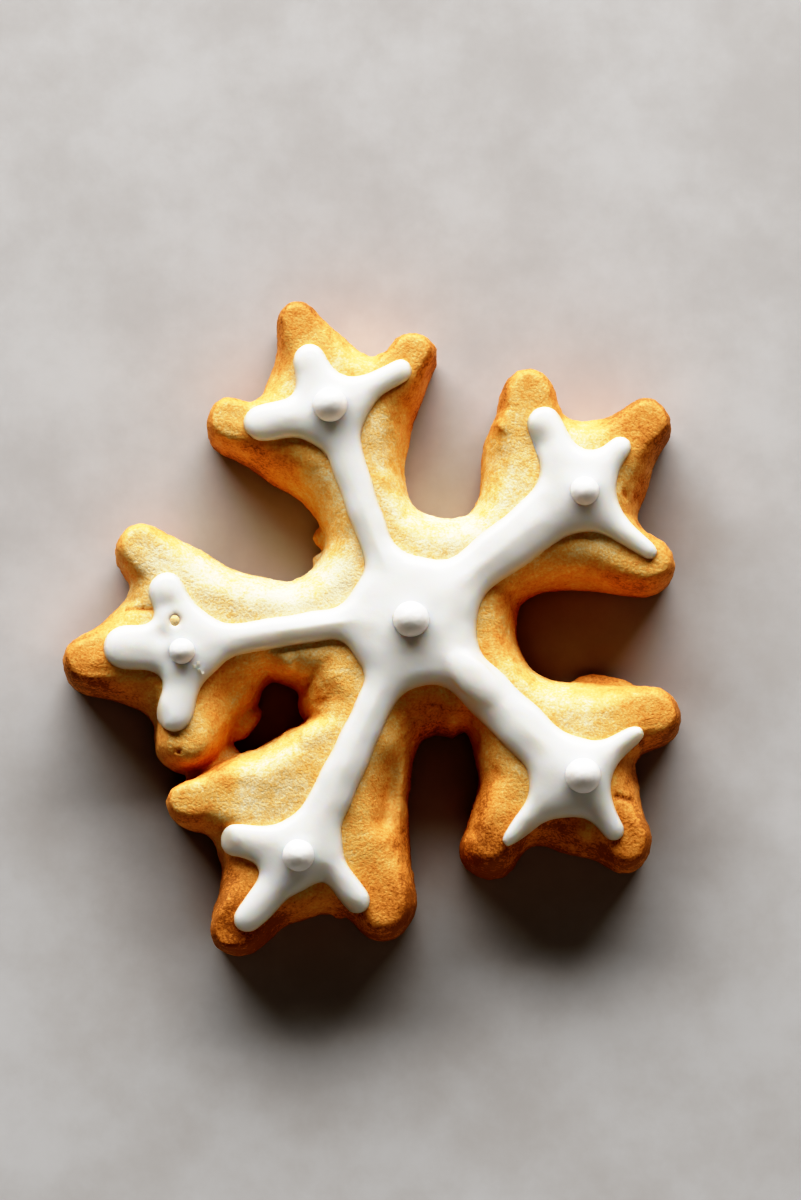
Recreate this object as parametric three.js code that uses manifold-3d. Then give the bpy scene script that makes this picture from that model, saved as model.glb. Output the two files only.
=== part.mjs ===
// A sugar cookie cut as a five-armed snowflake, with white icing piped along its arms and six sugar
// pearls set in the icing. Millimetres, +Z up, the origin on the bench under the middle of the hub.
// The two solids are the baked dough and the icing with its pearls.
import * as THREE from 'three';
import { mergeVertices } from 'three/addons/utils/BufferGeometryUtils.js';
import Module from 'manifold-3d';

// ---- driving dimensions -------------------------------------------------------------------------
const DOUGH_HEIGHT = 10;
const DOUGH_STEP = 1.55; // spacing of the points along the dough's outline
const DOUGH_RIPPLE = [0.09, 7]; // height and length of the waves in the dough's outline
const HUB_RADIUS = 12;
const HUB_MIDDLE = [0, 1]; // the dough's hub lies a little off the middle of the icing's
const SPOKE_HALF_WIDTH = 5;
const DOUGH_FILLET = 3.2; // how widely the parts of one arm run into each other
const HUB_FILLET = 5; // the same between two arms at the hub
const HUB_FILLET_REACH = [12, 21]; // the arms stop running together between these distances
const TIP_FLAT = 0.62; // how far the edge's rounding goes into a prong, as a share of its half width

// The dough's edge from the bench up: [height, how far it lies inside the widest outline].
const EDGE = [
  [0, 0.8], [0.5, 0.2], [1.5, 0], [3.4, 0.15], [5.4, 0.5], [7.2, 1.1], [8.6, 1.9], [9.5, 2.8], [10, 4],
];

// One entry for each arm, its bearing from +X in degrees. A point of an arm is [along its spoke from the
// hub's middle, to the left of the spoke]. The spoke starts a little beside the middle and spreads into a
// round star. Each prong leaves it at some distance along, with a root and an end of their own radii.
const DOUGH_ARMS = [
  {
    bearing: 38.8, beside: 0.8, star: [26.7, 0.8], starRadius: 6.9,
    prongs: [
      { leaves: 17, root: 5.4, end: [27.7, 12.7], radius: 3.4 },
      { leaves: 24, root: 4.5, end: [35.9, 1.3], radius: 3.2 },
      { leaves: 18, root: 5.6, end: [25.8, -11.3], radius: 3.4 },
    ],
  },
  {
    bearing: 110.5, beside: 0, star: [28, 0], starRadius: 7.4,
    prongs: [
      { leaves: 18, root: 4.4, end: [29.5, 11.2], radius: 3 },
      { leaves: 24, root: 5.6, end: [38.4, -0.5], radius: 2.7 },
      { leaves: 19, root: 3.8, end: [30, -11.5], radius: 2.9 },
    ],
  },
  {
    bearing: 184.6, beside: -2.6, star: [28.3, 0], starRadius: 7.5,
    prongs: [
      { leaves: 20, root: 4.7, end: [26.6, 10.7], radius: 4 },
      { leaves: 24, root: 4.5, end: [37.2, 1.3], radius: 3.3 },
      { leaves: 15, root: 5.2, end: [30.1, -11.2], radius: 3.4 },
    ],
  },
  {
    bearing: 245, beside: 0.5, star: [31, -1.5], starRadius: 7.9,
    prongs: [
      { leaves: 16, root: 5.4, end: [30.2, 10.5], radius: 4 },
      { leaves: 24, root: 4.5, end: [39.6, -3.3], radius: 3.3 },
      { leaves: 18.5, root: 7.6, end: [29.2, -14.1], radius: 2.9 },
    ],
  },
  {
    bearing: 317.4, beside: 1, star: [26, -0.8], starRadius: 7.4,
    prongs: [
      { leaves: 16, root: 5.7, end: [27.5, 11.2], radius: 3.4 },
      { leaves: 24, root: 4.5, end: [34.8, -1.8], radius: 3.3 },
      { leaves: 19, root: 4, end: [23.9, -12.7], radius: 3.4 },
    ],
  },
];

// Bars of dough that fill out a gap between arms, and the corners of gaps that reach further in, as
// [x, y] of one end, of the other end, and the radius at each.
const WEBS = [
  [[-19.3, -15.3], [-10.7, -12.6], 1, 1],
  [[9.5, 22.8], [8.9, 16.8], 1, 1],
];
const GAP_CORNERS = [
  [[-15.4, -6], [-12.6, -10.1], 0.6, 1],
  [[-16.2, -6.9], [-16.5, -11], 1, 1],
  [[-13.9, -9.8], [-18.6, -13], 1, 0.4],
  [[6.2, -12.3], [6.3, -15.1], 0.8, 1.2],
  [[1.4, -17], [0.6, -19.8], 1, 1],
  [[13.3, 2.6], [13.8, -1.1], 0.9, 0.9],
  [[-22.6, -27.4], [-22.9, -30.2], 0.8, 0.8],
];
const CORNER_FILLET = 1;

// Low ledges of dough on the bench: [x, y], bearing, and half the length, width and height. In the first,
// two neighbouring arms have run together. The others stand out below a gap's edge.
const LEDGES = [
  { middle: [-23, -15.5], bearing: 33, half: [3.6, 1.9, 2.2] },
  { middle: [22.5, -6.3], bearing: -10, half: [3.8, 1.3, 1.5] },
  { middle: [-19.3, -10.8], bearing: 62, half: [2.2, 1.3, 2] },
];

// Rough lumps and flakes on the dough's foot: [x, y, height of the middle, radius], each moved onto the
// outline beside it.
const FLAKES = [
  [-12.3, 10.7, 1.4, 1.5], [-12.8, 9.5, 2.3, 0.9], [20.2, -5.2, 1.3, 0.9], [24.6, -5.8, 1.2, 0.9],
  [-8.3, -33.7, 2.7, 1],
];
const FLAKE_FLATNESS = 0.7;
const FLAKE_SIDES = 9;

const ICING_STEP = 0.95; // spacing of the points along the icing's outline
const ICING_RIPPLE = [0.05, 5];
const ICING_HEIGHT = 1.9;
const ICING_LIP = 0.25; // the icing's edge stands up this far before it rounds over
const ICING_EDGE = 4; // the icing rises over this width, or over its half width where that is less
const ICING_CROWN = 0.88; // the share of that width at which the icing's top is level
const ICING_TOP = [0, 0.1, 0.36, ICING_CROWN]; // the rings of its top, as shares of that width
const SEAT_EDGE = 2.4; // the width over which the icing's underside follows the dough's rounded edge
const ICING_UNDERSIDE = [ICING_CROWN, 0.45, 0]; // the rings of its underside, as shares of that width
const ICING_DROP = 1.2; // the furthest its edge hangs down beside the dough's flat top
const ICING_GAP = 0.3; // between the icing and the dough's rounded edge
const SEAT_SAMPLES = [[0, 0], [0.5, 0], [-0.5, 0], [0, 0.5], [0, -0.5]]; // where that gap is measured
const ICING_HUB = 7.6; // from the middle of the hub to each of its five sides
const PAD_RADIUS = 3.2;
const PAD_FILLET = 2.6;
const ICING_FILLET = 1.6; // between the hub and the spokes

// As above, with a pad in place of the star, where the prongs leave, and with the spoke's half widths at
// the hub and at the pad. The spoke starts a little beside the hub's middle.
const ICING_ARMS = [
  {
    bearing: 37.3, beside: 0.3, pad: [24, 0.3], spoke: [2.5, 3.4],
    prongs: [
      { root: 2.4, end: [26.2, 8.9], radius: 2.2 },
      { root: 2.4, end: [31.4, 1.5], radius: 1.4 },
      { root: 2.4, end: [26.6, -10.1], radius: 1 },
    ],
  },
  {
    bearing: 110.9, beside: 0.8, pad: [26.1, 0], spoke: [1.7, 2.2],
    prongs: [
      { root: 2.3, end: [27.7, 7.7], radius: 2.3 },
      { root: 2.4, end: [32.5, 0.1], radius: 2.1 },
      { root: 2, end: [27.8, -9.4], radius: 1.4 },
    ],
  },
  {
    bearing: 186.4, beside: -1.2, pad: [25.1, 0], spoke: [1.8, 1.9],
    prongs: [
      { root: 2, end: [28, 7.5], radius: 2.2 },
      { root: 2.4, end: [32.7, -0.7], radius: 2.6 },
      { root: 2.2, end: [27.4, -6.7], radius: 2.2 },
    ],
  },
  {
    bearing: 245.4, beside: 0.3, pad: [28.8, 0], spoke: [1.9, 2.6],
    prongs: [
      { root: 2.4, end: [31.3, 7.7], radius: 1.6 },
      { root: 2.6, end: [38.4, -2.8], radius: 1.7 },
      { root: 2.2, end: [30.9, -7.7], radius: 1.9 },
    ],
  },
  {
    bearing: 315.9, beside: 0.3, pad: [25.4, 0], spoke: [2.6, 3.1],
    prongs: [
      { root: 2.4, end: [27.4, 8.6], radius: 1 },
      { root: 2.4, end: [33.1, -1], radius: 1.3 },
      { root: 2.6, end: [25.2, -10.3], radius: 0.9 },
    ],
  },
];

// Sugar pearls: bearing, distance from the hub's middle, radius and the share sunk in the icing.
const PEARLS = [
  [0, 0, 2, 0.3], [36.8, 24.8, 1.65, 0.35], [110.4, 26.6, 1.95, 0.6],
  [187.9, 26.3, 1.4, 0.45], [244.6, 29.7, 1.7, 0.35], [317.4, 26.4, 1.95, 0.3],
];

// A bare spot that the icing left beside one pearl, and the start of one spoke, piped over the hub.
const BARE_SPOT = { middle: [-26.9, 0], half: [0.5, 0.65] };
const OVERLAP = { bearing: 317, along: 9.6, half: [4.6, 2.1, 0.9], height: 11.5 };
const ROUND_SIDES = 12; // of a pearl or another round body
const OUTSIDE = 60; // further from the middle than any part of the cookie

// ---- flat shapes as fields: the signed distance to an outline, negative inside -----------------
const polar = (degrees, distance) => new THREE.Vector2(distance, 0)
  .rotateAround(new THREE.Vector2(), THREE.MathUtils.degToRad(degrees));

/** Points of one arm, from the distance along its spoke and the distance to the left of it. */
const inArm = (bearing) => (along, left) => polar(bearing, along).add(polar(bearing + 90, left));

const disc = (centre, radius) => (p) => p.distanceTo(centre) - radius;

/** A bar with round ends whose radius runs evenly from one end to the other. */
function bar(from, to, fromRadius, toRadius) {
  const line = to.clone().sub(from);
  return (p) => {
    const share = THREE.MathUtils.clamp(p.clone().sub(from).dot(line) / line.lengthSq(), 0, 1);
    const nearest = from.clone().addScaledVector(line, share);
    return p.distanceTo(nearest) - THREE.MathUtils.lerp(fromRadius, toRadius, share);
  };
}

/** Both shapes, run together with a fillet of about this width. */
function blend(a, b, fillet) {
  const overlap = Math.max(fillet - Math.abs(a - b), 0);
  return Math.min(a, b) - (fillet > 0 ? (overlap * overlap) / (4 * fillet) : 0);
}

/** A shallow ripple over the plane, which makes an outline as uneven as dough or piped icing. */
const ripple = (p, height, length) => height
  * (Math.sin((2 * Math.PI * p.x) / length + 1.3 * Math.sin(p.y / length))
    + Math.sin((2 * Math.PI * p.y) / (0.83 * length) + 1.7 * Math.sin(p.x / length)));

const blendAll = (shapes, fillet) => (p) => shapes
  .map((shape) => shape(p)).reduce((a, b) => blend(a, b, fillet));

function doughArm({ bearing, beside, star, starRadius, prongs }) {
  const place = inArm(bearing);
  const parts = prongs.map(({ leaves, root, end, radius }) => (
    bar(place(leaves, 0), place(...end), root, radius)));
  const spoke = bar(place(0, beside), place(...star), SPOKE_HALF_WIDTH, SPOKE_HALF_WIDTH);
  return blendAll([spoke, disc(place(...star), starRadius), ...parts], DOUGH_FILLET);
}

const doughArms = DOUGH_ARMS.map(doughArm);
const doughHub = disc(new THREE.Vector2(...HUB_MIDDLE), HUB_RADIUS);
const barOf = ([from, to, ...radii]) => bar(new THREE.Vector2(...from), new THREE.Vector2(...to), ...radii);
const webs = blendAll(WEBS.map(barOf), CORNER_FILLET);
const gapCorners = blendAll(GAP_CORNERS.map(barOf), CORNER_FILLET);

function doughField(p) {
  const apart = THREE.MathUtils.smoothstep(p.length(), ...HUB_FILLET_REACH);
  const fillet = HUB_FILLET * (1 - apart);
  const star = doughArms.map((arm) => arm(p)).reduce((a, b) => blend(a, b, fillet), doughHub(p));
  const filled = blend(star, webs(p), CORNER_FILLET);
  return ripple(p, ...DOUGH_RIPPLE) - blend(-filled, gapCorners(p), CORNER_FILLET);
}

function icingArm({ bearing, beside, pad, spoke, prongs }) {
  const place = inArm(bearing);
  const middle = place(...pad);
  const parts = prongs.map(({ end, radius, root }) => bar(middle, place(...end), root, radius));
  return blendAll([bar(place(0, beside), middle, ...spoke), disc(middle, PAD_RADIUS), ...parts], PAD_FILLET);
}

/** The icing's hub has five straight sides, each facing the gap between two spokes. */
function icingHub(p) {
  const sides = ICING_ARMS.map(({ bearing }, i) => {
    const next = ICING_ARMS[(i + 1) % ICING_ARMS.length].bearing;
    const facing = polar((bearing + next + (next < bearing ? 360 : 0)) / 2, 1);
    return p.dot(facing) - ICING_HUB;
  });
  return Math.max(...sides);
}

const icingShape = blendAll([icingHub, ...ICING_ARMS.map(icingArm)], ICING_FILLET);
const icingField = (p) => icingShape(p) + ripple(p, ...ICING_RIPPLE);

// ---- from a field to an outline ------------------------------------------------------------------
function gradient(field, p, step = 0.01) {
  const along = (x, y) => field(p.clone().add(new THREE.Vector2(x, y)));
  return new THREE.Vector2(along(step, 0) - along(-step, 0), along(0, step) - along(0, -step))
    .divideScalar(2 * step);
}

/** The point of the field's edge beside a point. */
function settle(field, beside, rounds = 3) {
  const p = beside.clone();
  for (let i = 0; i < rounds; i += 1) {
    const slope = gradient(field, p);
    p.addScaledVector(slope, -field(p) / slope.lengthSq());
  }
  return p;
}

/** Walks once round the field's edge, the shape on the left, and spaces its points evenly. */
function traceOutline(field, start, spacing) {
  const fine = 0.1;
  const fewest = 20; // steps that lead well away from the start
  const walk = [settle(field, start)];
  while (walk.length < fewest || walk[walk.length - 1].distanceTo(walk[0]) > fine) {
    const here = walk[walk.length - 1];
    const outward = gradient(field, here).normalize();
    const onward = new THREE.Vector2(-outward.y, outward.x).multiplyScalar(fine);
    walk.push(settle(field, here.clone().add(onward)));
  }
  const path = new THREE.CurvePath();
  walk.forEach((p, i) => path.add(new THREE.LineCurve(p, walk[(i + 1) % walk.length])));
  const count = Math.round(path.getLength() / spacing);
  return Array.from({ length: count }, (_, i) => path.getPointAt(i / count));
}

/** For each point of an outline: the way in, and the radius of the largest circle that fits there. */
function measureOutline(field, outline) {
  const inward = outline.map((p) => gradient(field, p).normalize().negate());
  const room = outline.map((p, i) => {
    const fits = outline.map((q, j) => {
      const apart = Math.abs(i - j);
      const ahead = inward[i].dot(q.clone().sub(p));
      const beside = Math.min(apart, outline.length - apart) <= 1;
      return beside || ahead <= 0 ? OUTSIDE : p.distanceToSquared(q) / (2 * ahead);
    });
    return Math.min(...fits);
  });
  return { inward, room: smoothRound(room) };
}

/** Averages each value with its neighbours on both sides, never rising above the value itself. */
function smoothRound(values, reach = 2) {
  return values.map((value, i) => {
    let sum = 0;
    for (let j = -reach; j <= reach; j += 1) {
      sum += values[(i + j + values.length) % values.length];
    }
    return Math.min(value, sum / (2 * reach + 1));
  });
}

// ---- solids --------------------------------------------------------------------------------------
/** A closed body from rings of points, bottom ring first, each running anticlockwise. */
function loft(rings) {
  const count = rings[0].length;
  const faces = [];
  for (let ring = 0; ring + 1 < rings.length; ring += 1) {
    for (let i = 0; i < count; i += 1) {
      const [a, b] = [ring * count + i, ring * count + ((i + 1) % count)];
      faces.push(a, b, b + count, a, b + count, a + count);
    }
  }
  const flat = (ring) => THREE.ShapeUtils.triangulateShape(ring.map((p) => new THREE.Vector2(p.x, p.y)), []);
  const last = (rings.length - 1) * count;
  flat(rings[0]).forEach(([a, b, c]) => faces.push(a, c, b));
  flat(rings[rings.length - 1]).forEach(([a, b, c]) => faces.push(last + a, last + b, last + c));
  const geometry = new THREE.BufferGeometry().setFromPoints(rings.flat());
  geometry.setIndex(faces);
  return geometry;
}

const doughOutline = traceOutline(doughField, polar(DOUGH_ARMS[0].bearing, OUTSIDE), DOUGH_STEP);
const doughMeasure = measureOutline(doughField, doughOutline);

function doughBody() {
  const deepest = EDGE[EDGE.length - 1][1];
  return loft(EDGE.map(([height, inset]) => doughOutline.map((p, i) => {
    const share = Math.min(1, (TIP_FLAT * doughMeasure.room[i]) / deepest);
    const at = p.clone().addScaledVector(doughMeasure.inward[i], inset * share);
    return new THREE.Vector3(at.x, at.y, height);
  })));
}

const rayDown = new THREE.Raycaster();
const doughGeometry = doughBody();
const doughTarget = new THREE.Mesh(doughGeometry);

/** How high the icing lies at a point: on the dough's flat top, and clear of the slope at its edge. */
function icingSeat(p) {
  const heights = SEAT_SAMPLES.map(([x, y]) => {
    rayDown.set(new THREE.Vector3(p.x + x, p.y + y, 2 * DOUGH_HEIGHT), new THREE.Vector3(0, 0, -1));
    const [hit] = rayDown.intersectObject(doughTarget);
    return hit ? hit.point.z + ICING_GAP : 0;
  });
  return THREE.MathUtils.clamp(Math.max(...heights), DOUGH_HEIGHT - ICING_DROP, DOUGH_HEIGHT);
}

/** The icing's body: its underside follows the dough, and its top rounds over from the lip. */
function icingBody() {
  const outline = traceOutline(icingField, polar(ICING_ARMS[0].bearing, OUTSIDE), ICING_STEP);
  const { inward, room } = measureOutline(icingField, outline);
  const ring = (share, edge, rise) => outline.map((p, i) => {
    const width = Math.min(room[i], edge);
    const at = p.clone().addScaledVector(inward[i], share * width);
    const seat = share === ICING_CROWN ? DOUGH_HEIGHT : icingSeat(at);
    return new THREE.Vector3(at.x, at.y, seat + rise(width));
  });
  const underside = ICING_UNDERSIDE.map((share) => ring(share, SEAT_EDGE, () => 0));
  const top = ICING_TOP.map((share) => ring(share, ICING_EDGE, (width) => {
    const crown = ICING_HEIGHT * Math.sqrt(width / ICING_EDGE) - ICING_LIP;
    return ICING_LIP + crown * Math.sqrt(1 - (1 - share) ** 2);
  }));
  return loft([...underside, ...top]);
}

// ---- joining and cutting -------------------------------------------------------------------------
const wasm = await Module();
wasm.setup();

function toSolid(geometry) {
  const bare = new THREE.BufferGeometry();
  bare.setAttribute('position', geometry.getAttribute('position'));
  bare.setIndex(geometry.getIndex());
  const merged = mergeVertices(bare, 1e-5);
  return new wasm.Manifold(new wasm.Mesh({
    numProp: 3,
    vertProperties: new Float32Array(merged.getAttribute('position').array),
    triVerts: new Uint32Array(merged.getIndex().array),
  }));
}

function toGeometry(solid) {
  const mesh = solid.getMesh();
  const geometry = new THREE.BufferGeometry();
  geometry.setAttribute('position', new THREE.BufferAttribute(mesh.vertProperties, 3));
  geometry.setIndex(new THREE.BufferAttribute(mesh.triVerts, 1));
  geometry.computeVertexNormals();
  return geometry;
}

/** A round or oval body: its middle, its half sizes and the bearing of its length. */
function oval([x, y, z], half, bearing = 0, sides = ROUND_SIDES) {
  return toSolid(new THREE.SphereGeometry(1, sides, sides - 4).rotateX(Math.PI / 2).scale(...half)
    .rotateZ(THREE.MathUtils.degToRad(bearing)).translate(x, y, z));
}

let cookieSolid = toSolid(doughGeometry);
for (const { middle, bearing, half } of LEDGES) {
  cookieSolid = cookieSolid.add(oval([...middle, half[2]], half, bearing));
}
for (const [x, y, height, radius] of FLAKES) {
  const at = settle(doughField, new THREE.Vector2(x, y));
  const half = [radius, radius, radius * FLAKE_FLATNESS];
  cookieSolid = cookieSolid.add(oval([at.x, at.y, height], half, 0, FLAKE_SIDES));
}

let icingSolid = toSolid(icingBody());
const overlapAt = polar(OVERLAP.bearing, OVERLAP.along);
icingSolid = icingSolid.add(oval([overlapAt.x, overlapAt.y, OVERLAP.height], OVERLAP.half, OVERLAP.bearing));
icingSolid = icingSolid.subtract(toSolid(new THREE.CylinderGeometry(1, 1, DOUGH_HEIGHT, ROUND_SIDES)
  .rotateX(Math.PI / 2).scale(...BARE_SPOT.half, 1)
  .translate(...BARE_SPOT.middle, DOUGH_HEIGHT + ICING_HEIGHT)));
const belowIcing = toSolid(new THREE.BoxGeometry(OUTSIDE, OUTSIDE, DOUGH_HEIGHT).scale(2, 2, 2));
for (const [bearing, distance, radius, sunk] of PEARLS) {
  const at = polar(bearing, distance);
  const height = DOUGH_HEIGHT + ICING_HEIGHT + radius * (1 - 2 * sunk);
  const pearl = oval([at.x, at.y, height], [radius, radius, radius]);
  icingSolid = icingSolid.add(pearl.subtract(belowIcing));
}

// ---- the cookie ----------------------------------------------------------------------------------
function piece(name, solid, color, roughness) {
  const material = new THREE.MeshStandardMaterial({ color, roughness, metalness: 0 });
  const mesh = new THREE.Mesh(toGeometry(solid), material);
  mesh.name = name;
  return mesh;
}

const icedCookie = new THREE.Group();
icedCookie.add(piece('cookie', cookieSolid, 0xe8b86a, 0.85));
icedCookie.add(piece('icing', icingSolid, 0xf6f3ee, 0.3));

export default icedCookie;
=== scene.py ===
"""An iced sugar cookie: crumbly browned dough, white icing piped over it and pearls of sugar."""

import math

import bpy
import numpy as np
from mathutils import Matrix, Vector


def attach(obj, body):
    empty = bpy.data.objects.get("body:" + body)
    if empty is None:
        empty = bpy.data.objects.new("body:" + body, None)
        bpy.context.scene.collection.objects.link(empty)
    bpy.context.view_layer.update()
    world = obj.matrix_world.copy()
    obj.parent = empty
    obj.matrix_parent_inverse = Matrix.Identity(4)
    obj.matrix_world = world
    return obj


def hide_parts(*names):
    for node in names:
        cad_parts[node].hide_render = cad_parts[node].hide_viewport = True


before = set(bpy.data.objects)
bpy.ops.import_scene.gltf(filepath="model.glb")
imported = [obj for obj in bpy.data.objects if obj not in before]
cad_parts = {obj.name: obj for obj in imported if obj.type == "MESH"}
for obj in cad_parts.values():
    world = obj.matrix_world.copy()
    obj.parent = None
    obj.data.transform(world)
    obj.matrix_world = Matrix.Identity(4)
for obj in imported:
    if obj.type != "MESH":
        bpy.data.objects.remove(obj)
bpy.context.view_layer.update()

MM = 0.001
DOUGH_TOP = 10  # millimetres, as the other sizes and places here
ICING_TOP = 11.9


# ---- tools of the bench --------------------------------------------------------------------------
def pick(piece):
    """Selects this piece alone."""
    bpy.ops.object.select_all(action="DESELECT")
    piece.select_set(True)
    bpy.context.view_layer.objects.active = piece


def work(piece, kind, **settings):
    """Adds a modifier and applies it."""
    pick(piece)
    modifier = piece.modifiers.new(kind.lower(), kind)
    for name, value in settings.items():
        setattr(modifier, name, value)
    bpy.ops.object.modifier_apply(modifier=modifier.name)


def merged_copy(node, name):
    """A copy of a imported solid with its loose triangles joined, and without the node's own notes."""
    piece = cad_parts[node].copy()
    piece.data = piece.data.copy()
    piece.name = piece.data.name = name
    piece.parent = None
    for key in list(piece.keys()):
        del piece[key]
    bpy.context.collection.objects.link(piece)
    piece.data.materials.clear()
    pick(piece)
    bpy.ops.object.mode_set(mode="EDIT")
    bpy.ops.mesh.select_all(action="SELECT")
    bpy.ops.mesh.remove_doubles(threshold=0.001 * MM)
    bpy.ops.object.mode_set(mode="OBJECT")
    return piece


def places(piece):
    """The places of a mesh's points, in millimetres."""
    co = np.zeros(len(piece.data.vertices) * 3)
    piece.data.vertices.foreach_get("co", co)
    return co.reshape(-1, 3) / MM


def put(piece, points):
    """Moves a mesh's points to these places, in millimetres."""
    piece.data.vertices.foreach_set("co", (points * MM).ravel())
    piece.data.update()


def normals(piece):
    """The way each of a mesh's points faces."""
    values = np.zeros(len(piece.data.vertices) * 3)
    piece.data.vertices.foreach_get("normal", values)
    return values.reshape(-1, 3)


def cloud(name, size_mm, depth=2):
    """A cloudy texture for relief, with lumps of about this size."""
    texture = bpy.data.textures.new(name, "CLOUDS")
    texture.noise_scale = size_mm * MM
    texture.noise_depth = depth
    texture.noise_basis = "ORIGINAL_PERLIN"
    return texture


def weigh(piece, name, weights):
    """A vertex group from one weight for each point, in steps of a hundredth."""
    group = piece.vertex_groups.new(name=name)
    steps = np.round(np.clip(weights, 0, 1) * 100).astype(int)
    for step in np.unique(steps):
        group.add([int(i) for i in np.flatnonzero(steps == step)], step / 100, "REPLACE")
    return name


def keep_value(piece, name, values):
    """One number for each point, which the piece's finish reads."""
    attribute = piece.data.attributes.new(name, "FLOAT", "POINT")
    attribute.data.foreach_set("value", values.astype(np.float32))


# ---- places and spots ------------------------------------------------------------------------------
def ramp(values, low, high):
    """0 below low, 1 above high, and smooth between them."""
    share = np.clip((values - low) / (high - low), 0, 1)
    return share * share * (3 - 2 * share)


def distance(points, x, y):
    """How far each point lies from a place, seen from above."""
    return np.hypot(points[:, 0] - x, points[:, 1] - y)


def near(points, spots):
    """How near each point is to the nearest spot, from 1 on it to 0 at its reach."""
    reached = np.zeros(len(points))
    for x, y, reach, *_ in spots:
        reached = np.maximum(reached, ramp(-distance(points, x, y), -reach, 0))
    return reached


def mound(points, x, y, reach):
    """A round mound that falls from 1 at its middle to almost nothing at its reach."""
    return np.exp(-((points[:, 0] - x) ** 2 + (points[:, 1] - y) ** 2) / (reach / 2) ** 2)


def hills(points, spots):
    """How far round hills lift the surface, and hollows lower it: [x, y, reach, height] of each."""
    lift = np.zeros(len(points))
    for x, y, reach, height in spots:
        lift += height * mound(points, x, y, reach)
    return lift


def nudge(points, spots):
    """Moves the points round some spots sideways: [x, y, reach, how far east, how far north]."""
    for x, y, reach, east, north in spots:
        moved = mound(points, x, y, reach)
        points[:, 0] += moved * east
        points[:, 1] += moved * north


def height_at(surface, x, y, within=0.4):
    """How high a surface's points rise near a place."""
    return surface[distance(surface, x, y) < within, 2].max()


# ---- what the dough and the icing share ------------------------------------------------------------
SWELL = cloud("swell of the dough", 9)
SWELL_HEIGHT = 0.7
SAG = 1.3  # how far the lower arm's end sinks
SAG_RUN = (14, 36)  # how far south of the hub the arm starts to sink, and has sunk


def sag(points):
    """How far the lower arm sinks at each point: most at its end, and not at all on the bench."""
    return SAG * ramp(-points[:, 1], *SAG_RUN) * ramp(points[:, 2], 0, DOUGH_TOP)


# ---- the baked dough -------------------------------------------------------------------------------
DOUGH_VOXEL = 0.345
OFF_BENCH = (0.2, 2.0)  # the dough grows rough between these heights, and is flat below them
DOUGH_RELIEF = [("lumps", 3.2, 0.3), ("crumb", 1.1, 0.1), ("grain", 0.6, 0.08)]  # size, height
RAGGED_SIDES = (0.9, 0.4)
SHOULDER = 6  # the height from which hills and cracks show
TIP_FULLNESS = 2.2  # the power by which a tip's sides are fuller at mid height: at 1 they aren't
CRACK_DEPTH = 0.4
CRACK_HALF_WIDTH = 0.25

DOUGH_HILLS = [
    (-26.9, 0.0, 3.0, 1.28),  # up into the bare spot of the icing
    (5.3, -25.0, 6, -1.3), (-21.5, -36.0, 6, -0.8),  # two tips that droop
    (-1.5, -17.5, 5, -2.4), (-2.2, -20.2, 4, -2.1), (-3.0, -22.6, 2.8, -1.3),  # the lower arm's groove
    (1.4, -11.0, 7, -1.5), (-20.5, -8.5, 6, -1.3),  # where the dough falls away to the gap and the hole
    (20.2, -4.9, 2.4, -2.0), (24.6, -5.4, 2.2, -1.8),  # over the crumbs low in the right gap
    (-18.9, -11.6, 3.2, -3.5),  # over the crumb low in the hole
]
NUDGES = [
    (-11.3, -8.3, 4, -1.7, -0.7), (-18.2, -8.8, 3.5, 0.8, 0),  # the hole beside the lower arm closes in
    (-25.0, -14.0, 5, 0.6, -0.7), (-21.0, -18.0, 5, -0.5, 0.6),  # the seam below it closes too
    (-14.2, -35.2, 5, 0, 1.5), (-10.6, -34.6, 4.5, 0, 1.4),  # the notch in that arm's end opens
    (-13.0, 37.0, 6, 0, -0.9), (0.3, 33.5, 6, 0, -0.8), (13.6, 28.8, 6, 0, -0.7),  # short upper tips
]
# Cracks and pits, each from one place to another.
CRACKS = [
    ((-32.6, 1.7), (-29.4, 1.4)), ((26.2, -13.6), (27.0, -15.8)), ((23.3, -19.9), (25.1, -20.4)),
    ((24.4, 3.8), (25.4, 3.5)), ((24.5, 15.1), (24.7, 14.7)), ((26.1, 12.1), (26.3, 11.6)),
    ((-26.5, -14.8), (-26.4, -14.9)),
]
# The tips of the arms, round which the dough swelled and browned most: [x, y, reach, how brown]. On the
# lower arms' tips, how brown also paints the shade they lie in.
TIPS = [
    (13.6, 27.3, 9, 0.2), (27.2, 23.5, 9, 0.42), (27.2, 7.1, 8, 0.2),
    (-20.8, 23.7, 9, 0.12), (-13.0, 36.1, 9, 0.28), (0.3, 32.1, 9, 0.25),
    (-31.0, 9.0, 7, 0.12), (-37.0, -4.3, 10, 0.34), (-26.5, -20.5, 9, 0.1),
    (-19.7, -34.5, 11, 0.62), (-3.3, -31.8, 10, 0.47),
    (28.0, -10.3, 8, 0.38), (24.4, -24.9, 10, 0.45),
]
# Browner places: partly real browning, partly painted shade where the dough lies low or faces away from
# the light, on the lower arms, below the hub, beside the hole and on the ledge in the right gap.
BROWNED_AND_SHADED = TIPS + [
    (27.5, 15.5, 5, 0.25), (10.2, 23.5, 3, 0.2), (-26.5, -14.5, 8, 0.08), (17.5, -22.5, 7, 0.45),
    (22.5, -10.3, 4, 0.1), (25.5, -17.5, 5, 0.25), (8.5, -25.5, 12, 0.5), (-2.8, -20.0, 5, 0.12),
    (-18.5, -11.8, 5, 0.1), (-21.5, -17.5, 4, 0.4), (11.5, 2.5, 5, 0.15), (3.0, -11.0, 7, 0.3),
    (21.5, -5.8, 4, 0.35), (-1.5, -25.5, 8, 0.36), (-8.5, 27.5, 4, 0.1), (17.0, -25.0, 8, 0.4),
    (-9.2, -6.7, 5, 0.12), (9.0, -2.5, 5, 0.12), (-21.5, -8.5, 6, 0.15), (-16.5, 19.6, 8, 0.25),
    (0.3, 25.8, 7, 0.25),
]
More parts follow.
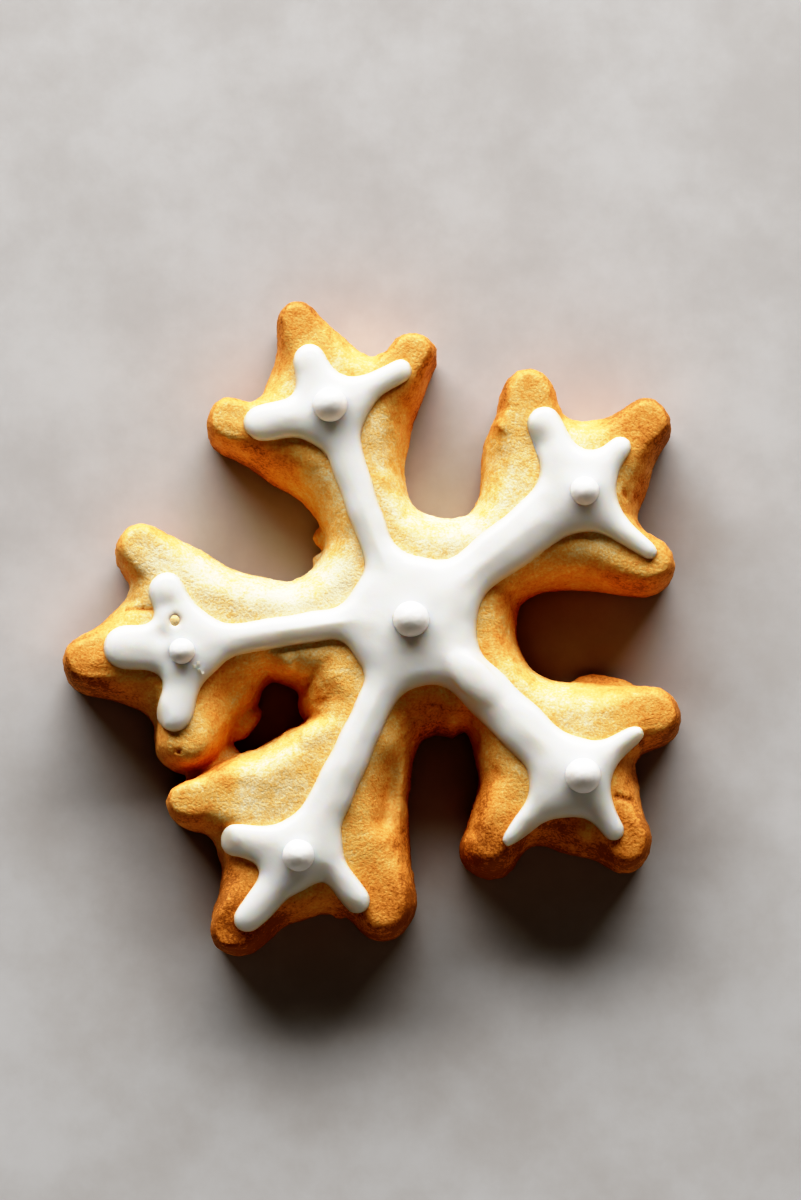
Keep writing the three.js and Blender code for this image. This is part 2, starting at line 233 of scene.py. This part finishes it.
# Paler places: partly less-baked dough, partly painted highlight where the dough faces the light.
PALE_AND_HIGHLIT = [
    (4.0, 14.5, 13, 0.4), (-14.0, 6.5, 14, 0.4), (-24.0, 6.5, 9, 0.35), (-30.5, 7.5, 6, 0.25),
    (-17.0, -17.0, 9, 0.2), (-30.0, 2.5, 5, 0.2), (-26.9, 0.0, 2.5, 0.3), (-2.0, 22.5, 5, 0.15),
    (19.0, -8.0, 8, 0.15), (20.5, 20.5, 5, 0.15), (-19.0, -10.5, 4, 0.25),
]
GOLDEN = 0.34  # how brown the dough is elsewhere
EDGE_BROWN = 0.1  # how much browner it is on its edge
TIP_EDGE_BROWN = 0.15  # and besides that on the edge of a tip
SIDE_BROWN_AND_SHADE = 0.12
CRACK_SHADE = 0.5
FOOT_BROWN_AND_SHADE = 0.3
FOOT_HEIGHT = 4.5


def cracks(points):
    """How deep in a crack each point is, from 0 to 1."""
    deep = np.zeros(len(points))
    for start, end in CRACKS:
        run = np.subtract(end, start)
        along = np.clip((points[:, :2] - start) @ run / (run @ run), 0, 1)
        away = points[:, :2] - start - along[:, None] * run
        deep = np.maximum(deep, np.exp(-(away ** 2).sum(1) / CRACK_HALF_WIDTH ** 2))
    return deep


def browning(points, outward):
    """How brown each point is, from 0 to 1, with painted shade among it: more on the steep sides and the
    foot than on the top.
    """
    brown = np.full(len(points), GOLDEN)
    for spots, sign in ((BROWNED_AND_SHADED, 1), (PALE_AND_HIGHLIT, -1)):
        change = [spot[3] * near(points, [spot]) for spot in spots]
        brown += sign * np.max(change, axis=0)
    steep = 1 - np.clip(outward[:, 2], 0, 1)
    foot = ramp(-points[:, 2], -FOOT_HEIGHT, 0)
    edge = ramp(steep, 0.03, 0.4) * (EDGE_BROWN + TIP_EDGE_BROWN * near(points, TIPS))
    # The steep sides and the foot are browner partly from real baking and partly as painted shade.
    lower = SIDE_BROWN_AND_SHADE * steep + FOOT_BROWN_AND_SHADE * foot
    # The cracks are darkened with painted shade.
    return np.clip(brown + edge + lower + CRACK_SHADE * cracks(points), 0, 1)


def bake_dough():
    """The dough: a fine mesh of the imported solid, roughened off the bench and shaped by its spots."""
    dough = merged_copy("cookie", "baked_dough")
    work(dough, "REMESH", mode="VOXEL", voxel_size=DOUGH_VOXEL * MM, use_smooth_shade=True)
    work(dough, "SMOOTH", factor=0.5, iterations=6)
    above = weigh(dough, "above the bench", ramp(places(dough)[:, 2], *OFF_BENCH))
    work(dough, "DISPLACE", texture=SWELL, strength=SWELL_HEIGHT * MM, direction="Z", vertex_group=above)
    for name, size, height in DOUGH_RELIEF:
        work(dough, "DISPLACE", texture=cloud(name, size), strength=height * MM, vertex_group=above)
    steep = ramp(-normals(dough)[:, 2], -0.9, -0.5)
    sides = weigh(dough, "sides", steep * ramp(places(dough)[:, 2], *OFF_BENCH))
    size, height = RAGGED_SIDES
    work(dough, "DISPLACE", texture=cloud("ragged sides", size), strength=height * MM, vertex_group=sides)

    points = places(dough)
    nudge(points, NUDGES)
    rise = np.clip(points[:, 2] / DOUGH_TOP, 0, 1)
    fuller = DOUGH_TOP * (1 - rise - (1 - rise) ** TIP_FULLNESS) * near(points, TIPS)
    top = ramp(points[:, 2], SHOULDER, DOUGH_TOP)
    points[:, 2] += fuller + top * (hills(points, DOUGH_HILLS) - CRACK_DEPTH * cracks(points))
    points[:, 2] = np.maximum(points[:, 2] - sag(points), 0)
    put(dough, points)
    keep_value(dough, "browning", browning(points, normals(dough)))
    return dough


# ---- the icing and its pearls ----------------------------------------------------------------------
ICING_VOXEL = 0.195
ICING_SUNK = 0.7  # how far the icing's underside is sunk in the dough
ICING_SLIMMED = 0.05  # how far it is drawn in all over
ICING_WAVES = (3.5, 0.12)  # size, height
ICING_HILLS = [
    (14.4, 20.6, 3.2, -0.45), (-27.0, -4.2, 2.2, -0.4), (-28.5, -1.8, 2.2, -0.25),
    (-27.6, 1.8, 2.4, -0.3), (0, 0, 6, 0.3), (19.9, 14.9, 5, 0.3), (-9.3, 24.9, 5, 0.3),
    (-12.7, -26.8, 5, 0.3), (19.4, -17.9, 6, 0.3),
]
ICING_NUDGES = [(-9.9, -29.8, 4, 0.2, 1.3)]  # it draws back between two prongs of the lower arm
BARE_SPOT = (-26.9, 0.0, 1.7)  # where it thins out to nothing: [x, y, reach]
BARE_SPOT_THINNESS = 0.9
JOINT = (9.8, -9.2, 5)  # where the piping of one arm runs into the hub: [x, y, reach]

# Place, radius, share sunk in the icing, name.
PEARLS = [
    (0.0, 0.0, 2, 0.46, "hub"), (19.86, 14.86, 1.6, 0.62, "upper_right"),
    (-9.27, 24.93, 1.95, 0.62, "upper_left"), (-26.05, -3.61, 1.4, 0.48, "left"),
    (-12.74, -26.83, 1.75, 0.48, "lower_left"), (19.43, -17.87, 1.95, 0.46, "lower_right"),
]
PEARL_SEAT = 0.7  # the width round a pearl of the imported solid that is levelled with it
PEARL_DENTS = (1.6, 0.16)  # size, height
PEARL_PLUMPNESS = 0.05  # makes up for its dents

CRYSTALS = [(-24.6, -5.3), (-24.1, -5.7), (-24.2, -4.9), (-23.7, -6.0)]
CRYSTAL_SIZES = (0.26, 0.36)
CRYSTAL_TURN = 0.4
CRYSTAL_SUNK = 0.11


def pour_icing():
    """The icing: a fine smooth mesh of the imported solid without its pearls, lying in the dough."""
    icing = merged_copy("icing", "poured_icing")
    points = places(icing)
    underneath = normals(icing)[:, 2] < -0.3
    points[underneath, 2] -= ICING_SUNK
    for x, y, radius, *_ in PEARLS:
        under = distance(points, x, y) < radius + PEARL_SEAT
        points[under, 2] = np.minimum(points[under, 2], ICING_TOP)
    put(icing, points)
    work(icing, "REMESH", mode="VOXEL", voxel_size=ICING_VOXEL * MM, use_smooth_shade=True)
    work(icing, "SMOOTH", factor=0.5, iterations=30)

    x, y, reach = JOINT
    joint = ramp(-distance(places(icing), x, y), -reach, -reach / 2)
    joint = weigh(icing, "joint", joint)
    work(icing, "SMOOTH", factor=0.5, iterations=250, use_x=False, use_y=False, vertex_group=joint)
    work(icing, "SMOOTH", factor=0.5, iterations=60, use_x=False, use_y=False)
    work(icing, "DISPLACE", strength=-ICING_SLIMMED * MM, mid_level=0)

    points = places(icing)
    nudge(points, ICING_NUDGES)
    top = ramp(normals(icing)[:, 2], 0, 0.6)
    points[:, 2] += hills(points, ICING_HILLS) * top - sag(points)
    put(icing, points)
    work(icing, "DISPLACE", texture=SWELL, strength=SWELL_HEIGHT * MM, direction="Z")
    size, height = ICING_WAVES
    work(icing, "DISPLACE", texture=cloud("icing's waves", size, 0), strength=height * MM)
    # The icing's steep sides take a warm tint: partly its thin edge letting the dough show through,
    # partly painted warm shade.
    rim = ramp(-normals(icing)[:, 2], -0.93, -0.2)
    bare = BARE_SPOT_THINNESS * near(points, [BARE_SPOT])
    keep_value(icing, "thinness", np.maximum(rim, bare))
    return icing


def roll_pearl(surface, x, y, radius, sunk, name):
    """A pearl of sugar, not quite round, partly sunk in the icing's surface."""
    middle = Vector((x, y, height_at(surface, x, y) + radius * (1 - 2 * sunk)))
    bpy.ops.object.select_all(action="DESELECT")
    bpy.ops.mesh.primitive_uv_sphere_add(
        segments=48, ring_count=32, radius=(radius + PEARL_PLUMPNESS) * MM, location=middle * MM)
    pearl = bpy.context.object
    pearl.name = pearl.data.name = "pearl_" + name
    bpy.ops.object.transform_apply(location=True, rotation=True, scale=True)
    bpy.ops.object.shade_smooth()
    size, height = PEARL_DENTS
    work(pearl, "DISPLACE", texture=cloud("rolled " + name, size, 1), strength=height * MM)
    return pearl


def drop_crystals(surface):
    """A pinch of coarse sugar, stuck to the icing of the left arm."""
    chance = np.random.default_rng(7)
    bpy.ops.object.select_all(action="DESELECT")
    crystals = []
    for x, y in CRYSTALS:
        place = Vector((x, y, height_at(surface, x, y) - CRYSTAL_SUNK))
        size = chance.uniform(*CRYSTAL_SIZES)
        turn = chance.uniform(0, CRYSTAL_TURN, 3)
        bpy.ops.mesh.primitive_cube_add(size=size * MM, location=place * MM, rotation=turn)
        crystals.append(bpy.context.object)
    for crystal in crystals:
        crystal.select_set(True)
    bpy.ops.object.join()
    crystals = bpy.context.object
    crystals.name = crystals.data.name = "sugar_crystals"
    bpy.ops.object.transform_apply(location=True, rotation=True, scale=True)
    return crystals


# ---- finishes --------------------------------------------------------------------------------------
class Value:
    """The output of a shader node, on which plain arithmetic adds Math nodes."""

    def __init__(self, finish, socket):
        self.finish = finish
        self.socket = socket

    def maths(self, operation, first, second):
        """Adds a Math node."""
        return self.finish.node("ShaderNodeMath", {"operation": operation}, {0: first, 1: second})[0]

    def __add__(self, other):
        return self.maths("ADD", self, other)

    def __sub__(self, other):
        return self.maths("SUBTRACT", self, other)

    def __rsub__(self, other):
        return self.maths("SUBTRACT", other, self)

    def __mul__(self, other):
        return self.maths("MULTIPLY", self, other)

    __radd__ = __add__
    __rmul__ = __mul__

    def between(self, low, high):
        """0 below low, 1 above high, and smooth between them."""
        settings = {"interpolation_type": "SMOOTHSTEP"}
        return self.finish.node("ShaderNodeMapRange", settings, {0: self, 1: low, 2: high})[0]


class Finish:
    """A material built up node by node."""

    def __init__(self, name):
        self.material = bpy.data.materials.new(name)
        self.material.use_nodes = True
        self.tree = self.material.node_tree
        self.tree.nodes.clear()
        self.place = self.node("ShaderNodeTexCoord")["Object"]

    def node(self, kind, settings=None, sockets=None):
        """Adds a node of a type, with its settings and the values or links of its sockets."""
        made = self.tree.nodes.new(kind)
        for name, value in (settings or {}).items():
            if name == "stops":
                stops = made.color_ramp.elements
                while len(stops) < len(value):
                    stops.new(0.5)
                for stop, (position, colour) in zip(stops, value):
                    stop.position = position
                    stop.color = colour
            else:
                setattr(made, name, value)
        for key, value in (sockets or {}).items():
            if isinstance(value, Value):
                self.tree.links.new(value.socket, made.inputs[key])
            else:
                made.inputs[key].default_value = value
        return {key: Value(self, out) for i, out in enumerate(made.outputs) for key in (i, out.name)}

    def noise(self, size_mm, detail=2.0, roughness=0.5):
        """An even noise from 0 to 1 whose lumps are about this size."""
        sockets = {"Vector": self.place, "Scale": 1 / (size_mm * MM), "Detail": detail,
                   "Roughness": roughness}
        return self.node("ShaderNodeTexNoise", {}, sockets)[0]

    def kept(self, name):
        """The number that keep_value stored at each point of the mesh."""
        return self.node("ShaderNodeAttribute", {"attribute_name": name})["Fac"]

    def mix(self, share, first, second):
        """The first colour, turning into the second as the share rises to 1."""
        # The sockets are numbered, because the node has several of each name.
        settings = {"data_type": "RGBA", "clamp_factor": True}
        return self.node("ShaderNodeMix", settings, {0: share, 6: first, 7: second})[2]

    def relief(self, height, depth_mm):
        """The normal of a surface with this relief."""
        return self.node("ShaderNodeBump", {}, {"Height": height, "Distance": depth_mm * MM})["Normal"]

    def close(self, **sockets):
        """The shader itself, whose sockets are named with low dashes for spaces."""
        named = {name.replace("_", " "): value for name, value in sockets.items()}
        shader = self.node("ShaderNodeBsdfPrincipled", {}, named)[0]
        self.node("ShaderNodeOutputMaterial", {}, {"Surface": shader})
        return self.material


def rgb(red, green, blue):
    """A colour as the sockets take it, solid throughout."""
    return (red, green, blue, 1.0)


# The dough's colour, from raw to dark brown.
BAKED_COLOURS = [
    (0.0, rgb(0.89, 0.79, 0.56)), (0.2, rgb(0.88, 0.66, 0.35)), (0.42, rgb(0.86, 0.52, 0.19)),
    (0.64, rgb(0.82, 0.39, 0.125)), (0.84, rgb(0.69, 0.29, 0.085)), (1.0, rgb(0.42, 0.17, 0.05)),
]


def dough_finish():
    """Baked dough, sandy and mottled, coloured by how brown each place is, with painted shade and painted
    highlight among it.
    """
    finish = Finish("baked dough")
    patches = finish.noise(5.0, 3.0, 0.6)
    mottle = finish.noise(1.3, 4.0, 0.65)
    sand = finish.noise(0.3, 2.0, 0.6)
    brown = finish.kept("browning") + (patches - 0.5) * 0.75 + (mottle - 0.5) * 0.7 + (sand - 0.5) * 0.8
    colour = finish.node("ShaderNodeValToRGB", {"stops": BAKED_COLOURS}, {"Fac": brown})["Color"]
    height = finish.noise(0.8, 5.0, 0.7) * 0.4 + sand * 0.6
    return finish.close(Base_Color=colour, Roughness=0.62 + (mottle - 0.5) * 0.3,
                        Specular_IOR_Level=0.25, Normal=finish.relief(height, 0.15))


def icing_finish():
    """Set white icing, with the dough's warm colour where it is thin and painted warm shade on its steep
    sides.
    """
    finish = Finish("set white icing")
    clouds = finish.noise(6.0)
    white = finish.mix(clouds.between(0.3, 0.7), rgb(0.80, 0.795, 0.78), rgb(0.83, 0.825, 0.815))
    colour = finish.mix(finish.kept("thinness") * 0.9, white, rgb(0.80, 0.64, 0.45))
    height = finish.noise(1.6, 3.0)
    return finish.close(Base_Color=colour, Roughness=0.42 + (clouds - 0.5) * 0.12,
                        Coat_Weight=0.12, Coat_Roughness=0.25,
                        Subsurface_Weight=0.8, Subsurface_Radius=(1.0, 0.72, 0.45),
                        Subsurface_Scale=2.5 * MM, Normal=finish.relief(height, 0.04))


def pearl_finish():
    """A hard white pearl of sugar, a little cloudy."""
    finish = Finish("sugar pearl")
    clouds = finish.noise(1.2)
    colour = finish.mix(clouds.between(0.35, 0.7), rgb(0.97, 0.965, 0.955), rgb(0.94, 0.935, 0.925))
    height = finish.noise(0.5, 3.0)
    return finish.close(Base_Color=colour, Roughness=0.45 + (clouds - 0.5) * 0.2,
                        Subsurface_Weight=0.2, Subsurface_Radius=(1.0, 0.82, 0.62),
                        Subsurface_Scale=0.7 * MM, Normal=finish.relief(height, 0.04))


def crystal_finish():
    """Coarse sugar, faintly golden."""
    finish = Finish("coarse sugar")
    clouds = finish.noise(0.3)
    colour = finish.mix(clouds.between(0.35, 0.65), rgb(0.97, 0.92, 0.78), rgb(0.98, 0.96, 0.9))
    return finish.close(Base_Color=colour, Roughness=0.45 + (clouds - 0.5) * 0.1)


def floor_finish():
    """Pale stone, almost plain."""
    finish = Finish("pale stone")
    clouds = finish.noise(18.0, 6.0, 0.65)
    colour = finish.mix(clouds.between(0.3, 0.7), rgb(0.475, 0.465, 0.465), rgb(0.55, 0.55, 0.56))
    return finish.close(Base_Color=colour, Roughness=0.75 + (clouds - 0.5) * 0.1)


# ---- the making ------------------------------------------------------------------------------------
dough = bake_dough()
dough.data.materials.append(dough_finish())
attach(dough, "root")
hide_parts("cookie")

icing = pour_icing()
icing.data.materials.append(icing_finish())
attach(icing, "root")
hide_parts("icing")

sugar_pearl = pearl_finish()
surface = places(icing)
for x, y, radius, sunk, name in PEARLS:
    pearl = roll_pearl(surface, x, y, radius, sunk, name)
    pearl.data.materials.append(sugar_pearl)
    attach(pearl, "root")
    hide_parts("icing")

crystals = drop_crystals(surface)
crystals.data.materials.append(crystal_finish())
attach(crystals, "root")
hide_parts("icing")

# ---- floor, light and camera -----------------------------------------------------------------------
FLOOR_SIZE = 3  # metres, as the lights' sizes and distance
LIGHT_DISTANCE = 1.2
AIM = Vector((-1.2, 2.53, DOUGH_TOP))
CAMERA_PLACE = Vector((-1.2, -68.02, 484.79))
CAMERA_SENSOR = 36
CAMERA_LENS = 126
CAMERA_NEAREST = 10

bpy.ops.object.select_all(action="DESELECT")
bpy.ops.mesh.primitive_plane_add(size=FLOOR_SIZE)
floor = bpy.context.object
floor.name = "floor"
floor.data.materials.append(floor_finish())


def window_light(name, bearing, elevation, width, height, power, colour):
    """A soft light that faces the cookie from a bearing and an elevation in degrees."""
    turn, rise = math.radians(bearing), math.radians(elevation)
    place = Vector((math.cos(turn) * math.cos(rise), math.sin(turn) * math.cos(rise), math.sin(rise)))
    bpy.ops.object.light_add(type="AREA", location=place * LIGHT_DISTANCE)
    light = bpy.context.object
    light.name = name
    light.rotation_euler = (-place).to_track_quat("-Z", "Y").to_euler()
    light.data.shape = "RECTANGLE"
    light.data.size = width
    light.data.size_y = height
    light.data.energy = power
    light.data.color = colour


window_light("window", bearing=93, elevation=26.5, width=1.9, height=0.5, power=42,
             colour=(1, 0.985, 0.96))
window_light("bounce", bearing=285, elevation=24, width=1.6, height=0.4, power=2.6,
             colour=(1, 0.91, 0.77))

world = bpy.data.worlds.new("studio")
world.use_nodes = True
background = world.node_tree.nodes["Background"]
background.inputs["Color"].default_value = rgb(1.0, 0.9, 0.78)
background.inputs["Strength"].default_value = 0.045
bpy.context.scene.world = world

# Deep warm shadows, and whites that are held back softly: how light a place is, and how it is shown.
TONES = [(0.05, 0.012), (0.22, 0.16), (0.5, 0.485), (0.9, 0.85), (1.35, 0.965)]
BRIGHTEST = 2  # it is shown as pure white
WARM_BLACK = (0.012, 0.014, 0.015)

view = bpy.context.scene.view_settings
view.view_transform = "Standard"
view.use_curve_mapping = True
tones = view.curve_mapping
tones.black_level = WARM_BLACK
tones.clip_max_x = BRIGHTEST
curve = tones.curves[3]
curve.points[1].location = (BRIGHTEST, 1)
for light, shown in TONES:
    curve.points.new(light, shown)
tones.update()

bpy.ops.object.camera_add(location=CAMERA_PLACE * MM)
camera = bpy.context.object
camera.rotation_euler = (AIM * MM - camera.location).to_track_quat("-Z", "Y").to_euler()
camera.data.sensor_width = CAMERA_SENSOR
camera.data.lens = CAMERA_LENS
camera.data.clip_start = CAMERA_NEAREST * MM
bpy.context.scene.camera = camera
